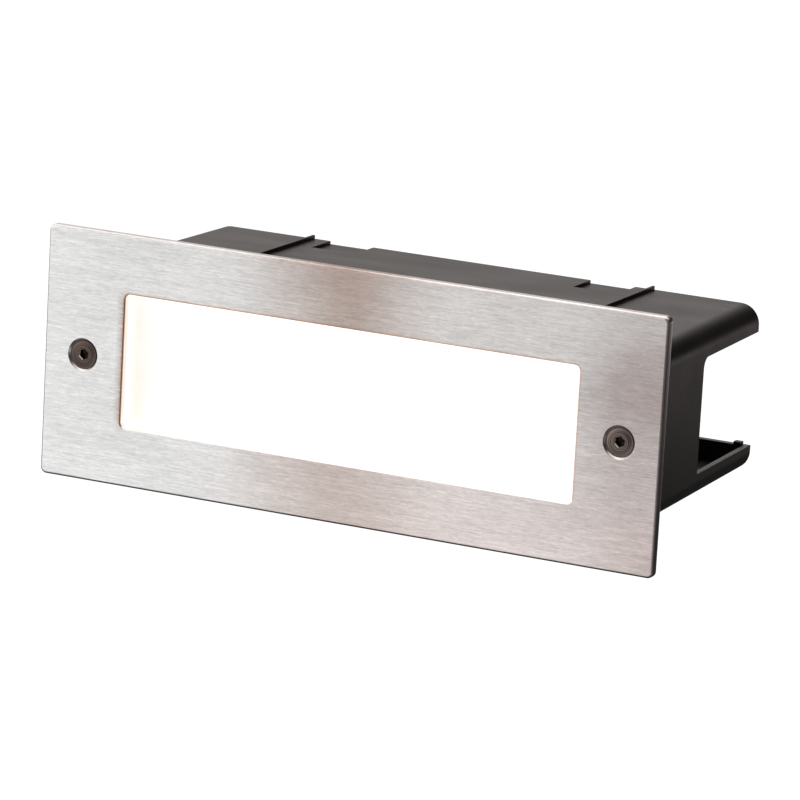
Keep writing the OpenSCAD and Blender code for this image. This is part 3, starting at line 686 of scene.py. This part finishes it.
# Rubber seal behind the face
# A flat black rubber ring lies between the steel face and the wall, and shows as a dark line
# behind the steel's edge.
seal_low, seal_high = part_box("face_gasket")
seal_w = seal_high.x - seal_low.x
seal_h = seal_high.z - seal_low.z
seal_corner = 1.6 * MM
opening_w = 218.8 * MM
opening_h = 62.9 * MM
opening_corner = 7.4 * MM
seal = loft("face_seal_ring", [
    section(seal_high.y, opening_w, opening_h, opening_corner),
    section(seal_low.y, opening_w, opening_h, opening_corner),
    section(seal_low.y, seal_w, seal_h, seal_corner),
    section(seal_high.y, seal_w, seal_h, seal_corner),
], endless=True)
break_edges(seal, width_mm=0.15)
dress(seal, black_rubber, "lamp_insert", "face_gasket")


# Steel face
# The face is blanked from 3 mm stainless sheet. Its front edge is rolled over, its front is
# brushed along its length, and a window and two countersinks are cut in it.
face_w = face_high.x - face_low.x
face_h = face_high.z - face_low.z
face_front = face_low.y
face_back = face_high.y
face_corner = 2.2 * MM
face_roll = 1 * MM
roll_steps = 6
window_w = 170 * MM
window_h = 47 * MM
window_corner = 2 * MM
countersink_radius = 5.75 * MM
shank_hole_radius = 2.75 * MM
window_roll = 0.4 * MM


def rolled_outline(width, height, corner, roll, grows):
    """Outlines of an edge that is rolled over by a radius, from the front back. The sheet's grow
    towards the back, where grows is 1, and those of the window's cutter shrink, where it is -1."""
    rings = []
    for i in range(roll_steps + 1):
        angle = math.radians(90 * i / roll_steps)
        step = -grows * roll * (1 - math.sin(angle))
        y = face_front + roll * (1 - math.cos(angle))
        rings.append(section(y, width + 2 * step, height + 2 * step, corner + step))
    return rings


face = loft("brushed_steel_face", [
    *rolled_outline(face_w, face_h, face_corner, face_roll, 1),
    section(face_back, face_w, face_h, face_corner),
])
cut(face, loft("window", [
    section(
        face_front - overrun, window_w + 2 * window_roll, window_h + 2 * window_roll,
        window_corner + window_roll,
    ),
    *rolled_outline(window_w, window_h, window_corner, window_roll, -1),
    section(face_back + overrun, window_w, window_h, window_corner),
]))
cut(face, *[
    turned("countersink", [
        (countersink_radius + overrun, face_front - overrun),
        (shank_hole_radius, face_front + countersink_radius - shank_hole_radius),
        (shank_hole_radius, face_back + overrun),
    ], x=side * boss_place)
    for side in both
])
break_edges(face, width_mm=0.12)


def unsigned(tree, value):
    """How far a value is from zero, whichever way."""
    return shader_node(tree, "ShaderNodeMath", {0: value}, operation="ABSOLUTE").outputs[0]


def shaded(tree, color, amount, filter_color):
    """The colour where amount is 0, seen through the filter's colour where it is 1."""
    mix = shader_node(tree, "ShaderNodeMix", {0: amount}, data_type="RGBA", blend_type="MULTIPLY")
    tree.links.new(color, mix.inputs[6])
    mix.inputs[7].default_value = (*filter_color, 1)
    return mix.outputs[2]


def painted_reflection_band(tree, color, along, up, drift):
    """A painted dark reflection: a soft brown band down the face, just left of its middle and
    stronger towards the top.
    """
    wavy_along = sums(tree, "ADD", along, spread(tree, drift, 0.3, 0.7, -3, 11))
    off_band = unsigned(tree, wavy_along)
    amount = sums(tree, "MULTIPLY", spread(tree, off_band, 4, 40, 1, 0), spread(tree, up, -40, 40, 0.5, 1))
    return shaded(tree, color, amount, (0.63, 0.525, 0.475))


def painted_reflection_end(tree, color, along, up, drift):
    """Painted dark reflection: the steel is darker at the right end, most of all a little above the middle.
    """
    wavy_along = sums(tree, "ADD", along, spread(tree, drift, 0.3, 0.7, -7, 7))
    wavy_up = sums(tree, "ADD", up, spread(tree, drift, 0.3, 0.7, -22, -16))
    amount = sums(
        tree, "MULTIPLY",
        spread(tree, wavy_along, 83, 106, 0, 1),
        spread(tree, unsigned(tree, wavy_up), 3, 28, 0.9, 0.5),
        spread(tree, up, 28, 43, 1, 0.5),
    )
    return shaded(tree, color, amount, (0.64, 0.565, 0.555))


def darker_strip(tree, color, along, up, scratch):
    """A darker brown strip down the window's left side, broken up by the scratches."""
    window_left = -window_w / 2 / MM
    amount = sums(
        tree, "MULTIPLY",
        spread(tree, along, window_left - 3, window_left - 0.3, 0, 1),
        spread(tree, along, window_left + 1, window_left + 5, 1, 0),
        spread(tree, unsigned(tree, up), 20, 26, 1, 0),
        spread(tree, scratch, 0.3, 0.6, 0.3, 1),
    )
    return shaded(tree, color, amount, (0.6, 0.52, 0.5))


def painted_edge_shade(tree, color, along, up):
    """A thin brown line round the window, but not along its bottom: painted shade, warmed by the
    window's light."""
    past_x, past_z = (
        sums(
            tree, "MAXIMUM",
            sums(tree, "SUBTRACT", unsigned(tree, value), (size / 2 - window_corner) / MM), 0,
        )
        for value, size in ((along, window_w), (up, window_h))
    )
    past_corner = shader_node(tree, "ShaderNodeCombineXYZ", {0: past_x, 2: past_z}).outputs[0]
    off_corner = shader_node(
        tree, "ShaderNodeVectorMath", {0: past_corner}, operation="LENGTH"
    ).outputs["Value"]
    edge = window_corner / MM
    amount = sums(
        tree, "MULTIPLY",
        spread(tree, off_corner, edge + 0.35, edge + 0.95, 1, 0),
        spread(tree, up, -23, -21, 0, 1),
        spread(tree, along, -60, 80, 1, 0.6),
    )
    return shaded(tree, color, amount, (0.9, 0.62, 0.47))


def sheared_ends(tree, color, along, depth):
    """The sheet's two ends: dark in front, and bright bluish white further back."""
    face_end = face_w / 2 / MM
    sheared = tint(tree, spread(tree, depth, -1.8, -1.45, 0, 1), (0.4, 0.35, 0.345), (0.93, 0.97, 1.0))
    at_end = spread(tree, unsigned(tree, along), face_end - 0.4, face_end - 0.1, 0, 1)
    return tint(tree, at_end, color, sheared)


def brushed_steel():
    """Stainless steel brushed along X, with short and long scratches, mottling and a few nicks. Its
    colour goes from cool at the left to warm at the right as a painted reflection, and is a little
    pinker low down; painted shade makes it darker towards the top."""
    material, tree, shader, place = start_finish("brushed_stainless_steel", (0.75, 0.74, 0.73), 0.3, 1.0)
    along, depth, up = coordinates(tree, place)
    face_top = face_h / 2 / MM
    hair = grain(tree, place, (3.5, 3, 0.24), 1, 0.5)
    scratch = grain(tree, place, (12, 3, 0.4), 1, 0.5)
    streak = grain(tree, place, (40, 8, 1.8), 2)
    patch = grain(tree, place, (30, 20, 14), 2)
    mottle = grain(tree, place, (1.6, 3, 0.6), 2)
    nick = grain(tree, place, (0.9, 1, 0.5), 0)
    drift = grain(tree, place, (70, 20, 50), 1)
    shade = sums(
        tree, "ADD",
        spread(tree, hair, 0.25, 0.75, -0.5, 0.5),
        spread(tree, scratch, 0.25, 0.75, -0.4, 0.4),
        spread(tree, streak, 0.3, 0.7, -0.15, 0.15),
        spread(tree, patch, 0.3, 0.7, -0.15, 0.15),
        spread(tree, mottle, 0.3, 0.7, -0.28, 0.28),
        spread(tree, nick, 0.77, 0.82, 0, 1.0),
        # Painted shade: darker towards the top of the face, lighter towards the bottom.
        spread(tree, up, -face_top, face_top, 0.2, -0.2),
    )
    level = spread(tree, shade, -1.1, 1.1, 0, 1)
    cool = tint(tree, level, (0.66, 0.655, 0.65), (1.0, 0.995, 0.99))
    warm = tint(tree, level, (0.65, 0.62, 0.605), (1.0, 0.965, 0.95))
    # Painted reflection: cool at the left, turning warmer and a little darker to the right.
    across = sums(tree, "ADD", along, spread(tree, patch, 0.2, 0.8, -25, 25))
    color = tint(tree, spread(tree, across, -70, 20, 0, 1), cool, warm)
    low_right = sums(tree, "MULTIPLY", spread(tree, up, 5, -35, 0, 1), spread(tree, along, -60, 10, 0, 1))
    color = shaded(tree, color, low_right, (1.0, 0.94, 0.925))
    # Painted reflection in a band and at the right end, a darker strip by the window, and painted shade
    # round the window's edge.
    color = painted_reflection_band(tree, color, along, up, drift)
    color = painted_reflection_end(tree, color, along, up, drift)
    color = darker_strip(tree, color, along, up, scratch)
    color = painted_edge_shade(tree, color, along, up)
    color = sheared_ends(tree, color, along, depth)
    tree.links.new(color, shader.inputs["Base Color"])
    tree.links.new(spread(tree, shade, -1, 1, 0.36, 0.26), shader.inputs["Roughness"])
    shader.inputs["Anisotropic"].default_value = 0.7
    tangent = shader_node(tree, "ShaderNodeTangent", direction_type="RADIAL", axis="Z")
    tree.links.new(tangent.outputs[0], shader.inputs["Tangent"])
    relief(tree, shader, hair, 0.003)
    return material


def cut_steel():
    """The wall of the window where the laser cut it: bright, with painted shade and painted window
    glow along the front edge, brown at the left and orange to the right, and none along the bottom."""
    material, tree, shader, place = start_finish("laser_cut_steel", (0.9, 0.88, 0.85), 0.25, 1.0)
    along, depth, up = coordinates(tree, place)
    drag_lines = grain(tree, place, (0.25, 4, 0.25), 2)
    behind = sums(
        tree, "MAXIMUM", spread(tree, depth, -3.6, -3.0, 0, 1), spread(tree, up, -23.2, -22.6, 1, 0)
    )
    # Painted light and shade on the front edge: orange glow from the window, and brown shade that is
    # darkest at the left.
    orange = tint(tree, spread(tree, behind, 0.5, 1, 0, 1), (0.8, 0.52, 0.36), (0.95, 0.93, 0.9))
    brown = tint(tree, spread(tree, drag_lines, 0.3, 0.7, 0, 1), (0.2, 0.14, 0.11), (0.32, 0.23, 0.18))
    brown = tint(tree, spread(tree, along, -80, -40, 0, 1), brown, (0.85, 0.56, 0.4))
    color_by(tree, shader, behind, 0, 0.5, brown, orange)
    relief(tree, shader, drag_lines, 0.004)
    return material


def countersunk_steel():
    """The countersinks, turned bright by the cutter, with fine rings."""
    material, tree, shader, place = start_finish("countersunk_steel", (0.85, 0.82, 0.8), 0.22, 1.0)
    chatter = grain(tree, place, (6, 0.12, 6), 2)
    color_by(tree, shader, chatter, 0.3, 0.7, (0.72, 0.68, 0.65), (0.95, 0.93, 0.91))
    relief(tree, shader, chatter, 0.006)
    return material


dress(face, brushed_steel(), "lamp_insert", "face_plate")
face.data.materials.append(cut_steel())
face.data.materials.append(countersunk_steel())
flat_front = 0.9
upright_wall = 0.1
for polygon in face.data.polygons:
    center = polygon.center
    faces_front = abs(polygon.normal.y)  # from 0 for a wall to 1 for the flat front
    by_window = abs(center.x) < window_w / 2 + window_roll and abs(center.z) < window_h / 2 + window_roll
    off_axis = math.hypot(abs(center.x) - boss_place, center.z)
    if by_window and faces_front < flat_front:
        polygon.material_index = 1
    elif off_axis < countersink_radius and upright_wall < faces_front < flat_front:
        polygon.material_index = 2


# Face screws
# Two countersunk stainless screws with hexagon sockets hold the insert in the wall box. Their
# heads are turned, so fine rings show on them, and a nylon washer keeps each one in the insert.
screw_low, screw_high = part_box("face_screw_left")
screw_head_radius = 5 * MM
head_band = 0.2 * MM
head_dish = 0.02 * MM
rim_break = 0.12 * MM
rim_drop = 0.1 * MM
screw_radius = 2.5 * MM
head_cone = screw_head_radius - screw_radius
screw_root = 2.02 * MM
screw_pitch = 0.8 * MM
screw_sides = 40
rings_a_pitch = 8
neck_length = 2.4 * MM
tip_taper = 0.35 * MM
tip_chamfer = 0.8 * MM
socket_radius = 1.5 * MM / math.cos(math.radians(30))
socket_deep = 2.2 * MM
socket_flare = 0.4 * MM
socket_bright = 0.45 * MM
socket_wall = 0.98 * socket_radius
socket_turn = 20
flat_head = 0.95
dish_radius = socket_radius + 0.5 * MM
drill_radius = 0.8 * socket_radius
drill_start = 0.1 * MM
drill_point = 0.7 * MM
drill_tip = 0.05 * MM
sharp_edge = math.radians(32)
lathe_groove = [(0.55 * MM, 0), (0.5 * MM, 0.03 * MM), (0.42 * MM, 0.03 * MM), (0.36 * MM, 0)]


def thread_ring(y, start, tip):
    """The radii round one ring of the thread, which runs in after the neck and out at the tip."""
    run_in = min(1, (y - start) / screw_pitch)
    run_out = min(1, (tip - y) / screw_pitch)
    ring = []
    for k in range(screw_sides):
        turn = (y - start) / screw_pitch - k / screw_sides
        saw = abs(2 * (turn - math.floor(turn)) - 1)
        crest = screw_root + (screw_radius - screw_root) * (1 - run_in + run_in * saw)
        ring.append((crest - tip_taper * (1 - run_out), y))
    return ring


def hexagon(x, y, radius):
    """The socket's outline, at the angle where the screw stopped when it was tightened."""
    return [
        Vector((
            x + radius * math.cos(math.radians(60 * k + socket_turn)),
            y,
            radius * math.sin(math.radians(60 * k + socket_turn)),
        ))
        for k in range(6)
    ]


def face_screw(name, x):
    """A screw: the head with a fine groove from the lathe, the neck, the thread and the socket."""
    top = screw_low.y
    tip = screw_high.y
    neck = top + head_band + head_cone
    thread_start = neck + neck_length
    profile = [
        (dish_radius, top + head_dish),
        *[(screw_head_radius - inward, top + down) for inward, down in lathe_groove],
        (screw_head_radius - rim_break, top),
        (screw_head_radius, top + rim_drop),
        (screw_head_radius, top + head_band),
        (screw_radius, neck),
        (screw_radius, thread_start),
    ]
    rings = [[point] * screw_sides for point in profile]
    ring_count = rings_a_pitch * round((tip - thread_start) / screw_pitch)
    for i in range(1, ring_count + 1):
        y = thread_start + (tip - thread_start) * i / ring_count
        rings.append(thread_ring(y, thread_start, tip))
    rings.append([(screw_root - tip_chamfer, tip)] * screw_sides)
    screw = loft(name, [
        [
            Vector((
                x + r * math.cos(2 * math.pi * k / screw_sides), y,
                r * math.sin(2 * math.pi * k / screw_sides),
            ))
            for k, (r, y) in enumerate(ring)
        ]
        for ring in rings
    ])
    cut(screw, loft("socket", [
        hexagon(x, top - overrun, socket_radius + socket_flare + overrun),
        hexagon(x, top + socket_flare, socket_radius),
        hexagon(x, top + socket_deep, socket_radius),
    ]))
    cut(screw, turned("drill", [
        (drill_radius, top + drill_start), (drill_radius, top + socket_deep),
        (drill_tip, top + socket_deep + drill_point),
    ], x=x, sides=24))
    shape = bmesh.new()
    shape.from_mesh(screw.data)
    for facet in shape.faces:
        facet.smooth = True
    for edge in shape.edges:
        if len(edge.link_faces) == 2 and edge.calc_face_angle() > sharp_edge:
            edge.smooth = False
    shape.to_mesh(screw.data)
    shape.free()
    return screw


def turned_steel(name, x, ring_color):
    """Dark stainless steel with lighter rings from the lathe round the screw's own axis."""
    material, tree, shader, place = start_finish(name, (0.1, 0.085, 0.08), 0.3, 1.0)
    along, _, up = coordinates(tree, place)
    off_x = sums(tree, "SUBTRACT", along, x / MM)
    squares = sums(tree, "ADD", sums(tree, "MULTIPLY", off_x, off_x), sums(tree, "MULTIPLY", up, up))
    radius = sums(tree, "POWER", squares, 0.5)
    ring_place = shader_node(tree, "ShaderNodeCombineXYZ", {0: radius}).outputs[0]
    rings = grain(tree, ring_place, (0.5, 1, 1), 2)
    color_by(tree, shader, rings, 0.35, 0.65, (0.045, 0.032, 0.027), ring_color)
    roughness_by(tree, shader, rings, 0.3, 0.42)
    relief(tree, shader, rings, 0.02)
    return material


def forged_socket():
    """The mouth of the hexagon socket, which the punch leaves bright."""
    material, tree, shader, place = start_finish("forged_socket_steel", (0.62, 0.57, 0.52), 0.22, 1.0)
    scuff = grain(tree, place, (0.4, 0.4, 0.4), 2)
    color_by(tree, shader, scuff, 0.35, 0.7, (0.7, 0.65, 0.6), (0.4, 0.35, 0.31))
    return material


def painted_socket_shade():
    """The walls and the floor of the socket, dark with painted shade."""
    material, tree, shader, place = start_finish("dark_socket_steel", (0.03, 0.022, 0.019), 0.45, 1.0)
    socket_mottle = grain(tree, place, (0.5, 0.5, 0.5), 2)
    color_by(tree, shader, socket_mottle, 0.35, 0.7, (0.022, 0.016, 0.013), (0.06, 0.045, 0.038))
    return material


socket_finish = forged_socket()
socket_shade_finish = painted_socket_shade()
# Painted shade: the left screw's rings are darker than the right screw's.
for word, side, ring_color in (
    ("left", -1, (0.165, 0.126, 0.113)), ("right", 1, (0.27, 0.212, 0.19)),
):
    screw = face_screw(f"socket_screw_{word}", side * boss_place)
    dress(
        screw, turned_steel(f"turned_steel_{word}", side * boss_place, ring_color),
        f"{word}_screw", f"face_screw_{word}",
    )
    screw.data.materials.append(socket_finish)
    screw.data.materials.append(socket_shade_finish)
    for polygon in screw.data.polygons:
        off_axis = math.hypot(polygon.center.x - side * boss_place, polygon.center.z)
        down = polygon.center.y - screw_low.y
        in_mouth = off_axis < socket_radius + socket_flare and abs(polygon.normal.y) < flat_head
        if down < socket_bright and in_mouth:
            polygon.material_index = 1
        # Painted shade: the walls and floor deep in the socket take the dark finish.
        elif socket_bright < down < socket_deep + overrun and off_axis < socket_wall:
            polygon.material_index = 2
    cad_finish(f"captive_washer_{word}", pale_nylon)


# Floor and studio
# The light floats over a pale floor before a white background. A large soft box stands to the
# front left, one hangs overhead, and a weak one fills in from the front right.
floor_z = -160 * MM
floor_reach = 12.0
floor_shape = bmesh.new()
floor_corners = [
    floor_shape.verts.new((x * floor_reach, y * floor_reach, floor_z))
    for x, y in ((-1, -1), (1, -1), (1, 1), (-1, 1))
]
floor_shape.faces.new(floor_corners)
floor_mesh = bpy.data.meshes.new("pale_floor")
floor_shape.to_mesh(floor_mesh)
floor_shape.free()
floor = bpy.data.objects.new("pale_floor", floor_mesh)
bpy.context.scene.collection.objects.link(floor)


def choose(tree, amount, first, second):
    """The first shader where amount is 0, the second where it is 1."""
    return shader_node(tree, "ShaderNodeMixShader", {0: amount, 1: first, 2: second}).outputs[0]


def mirrored_floor(tree):
    """The floor as steel and plastic mirror it: bright in front of the light, dimmer to the right,
    dark under it and just behind it as a painted shadow, and paler and warmer further back. Places
    are in metres."""
    along, depth = coordinates(tree, shader_node(tree, "ShaderNodeTexCoord").outputs["Object"])[:2]
    slant = sums(tree, "SUBTRACT", along, sums(tree, "MULTIPLY", depth, 0.5))
    front = sums(
        tree, "ADD", spread(tree, slant, -0.13, -0.08, 1.06, 0.92), spread(tree, slant, 0.17, 0.6, 0, -0.8)
    )
    # Painted shadow: dark under the light and just behind it, as steel and plastic mirror the floor.
    back = spread(tree, depth, 0.64, 0.92, 0.05, 0.46)
    strength = tint(tree, spread(tree, depth, -0.25, -0.08, 0, 1), front, back)
    color = tint(tree, spread(tree, depth, 0.3, 0.5, 0, 1), (1, 1, 1), (1, 0.9, 0.88))
    return shader_node(tree, "ShaderNodeEmission", {"Color": color, "Strength": strength}).outputs[0]


def pale_floor():
    """A pale matt floor, which looks nearly white where it is seen straight."""
    material = bpy.data.materials.new("pale_floor")
    material.use_nodes = True
    tree = material.node_tree
    tree.nodes.remove(tree.nodes["Principled BSDF"])
    rays = shader_node(tree, "ShaderNodeLightPath").outputs
    matt = shader_node(tree, "ShaderNodeBsdfDiffuse", {"Color": (0.55, 0.55, 0.55, 1)}).outputs[0]
    glow = shader_node(tree, "ShaderNodeEmission", {"Color": (1, 1, 1, 1), "Strength": 0.86}).outputs[0]
    seen = shader_node(tree, "ShaderNodeAddShader", {0: matt, 1: glow}).outputs[0]
    lit = choose(tree, rays["Is Camera Ray"], matt, seen)
    surface = choose(tree, rays["Is Glossy Ray"], lit, mirrored_floor(tree))
    tree.links.new(surface, tree.nodes["Material Output"].inputs["Surface"])
    return material


def studio_wall(tree, color, strength):
    return shader_node(tree, "ShaderNodeBackground", {"Color": color, "Strength": strength}).outputs[0]


def studio():
    """White where it is seen straight. Steel and plastic mirror walls that are pale at the left and
    overhead and dark to the right, and a little light comes from all around."""
    world = bpy.data.worlds.new("studio")
    world.use_nodes = True
    tree = world.node_tree
    tree.nodes.clear()
    rays = shader_node(tree, "ShaderNodeLightPath").outputs
    along, _, up = coordinates(tree, shader_node(tree, "ShaderNodeTexCoord").outputs["Generated"])
    mirrored = sums(
        tree, "ADD",
        spread(tree, along, -0.95, -0.6, 0.4, 0),
        spread(tree, along, -0.3, 0.05, 0.66, 0.03),
        spread(tree, up, 0.6, 0.85, 0, 0.7),
    )
    warm = tint(tree, spread(tree, along, -0.95, -0.6, 0, 1), (1, 1, 1), (1, 0.94, 0.91))
    walls = choose(
        tree, rays["Is Glossy Ray"],
        studio_wall(tree, (1, 1, 1, 1), 0.28), studio_wall(tree, warm, mirrored),
    )
    straight = sums(tree, "MAXIMUM", rays["Is Camera Ray"], rays["Is Transmission Ray"])
    surface = choose(tree, straight, walls, studio_wall(tree, (1, 1, 1, 1), 1.0))
    tree.links.new(surface, shader_node(tree, "ShaderNodeOutputWorld").inputs["Surface"])
    return world


floor.data.materials.append(pale_floor())
bpy.context.scene.world = studio()


def soft_box(name, place, wide, high, radiance):
    """A rectangular lamp aimed at the light, with the same radiance over its whole face."""
    lamp = bpy.data.lights.new(name, "AREA")
    lamp.shape = "RECTANGLE"
    lamp.size = wide
    lamp.size_y = high
    lamp.energy = radiance * math.pi * wide * high
    made = bpy.data.objects.new(name, lamp)
    bpy.context.scene.collection.objects.link(made)
    made.location = place
    made.rotation_mode = "QUATERNION"
    made.rotation_quaternion = (-Vector(place)).to_track_quat("-Z", "Y")


soft_box("front_left_box", (-1.05, -1.15, 0.35), wide=0.9, high=1.5, radiance=0.8)
soft_box("overhead_box", (0.1, 0.25, 1.3), wide=1.2, high=1.2, radiance=0.85)
soft_box("front_right_fill", (0.9, -1.4, 0.5), wide=0.8, high=0.8, radiance=0.3)

bpy.context.scene.view_settings.view_transform = "Standard"
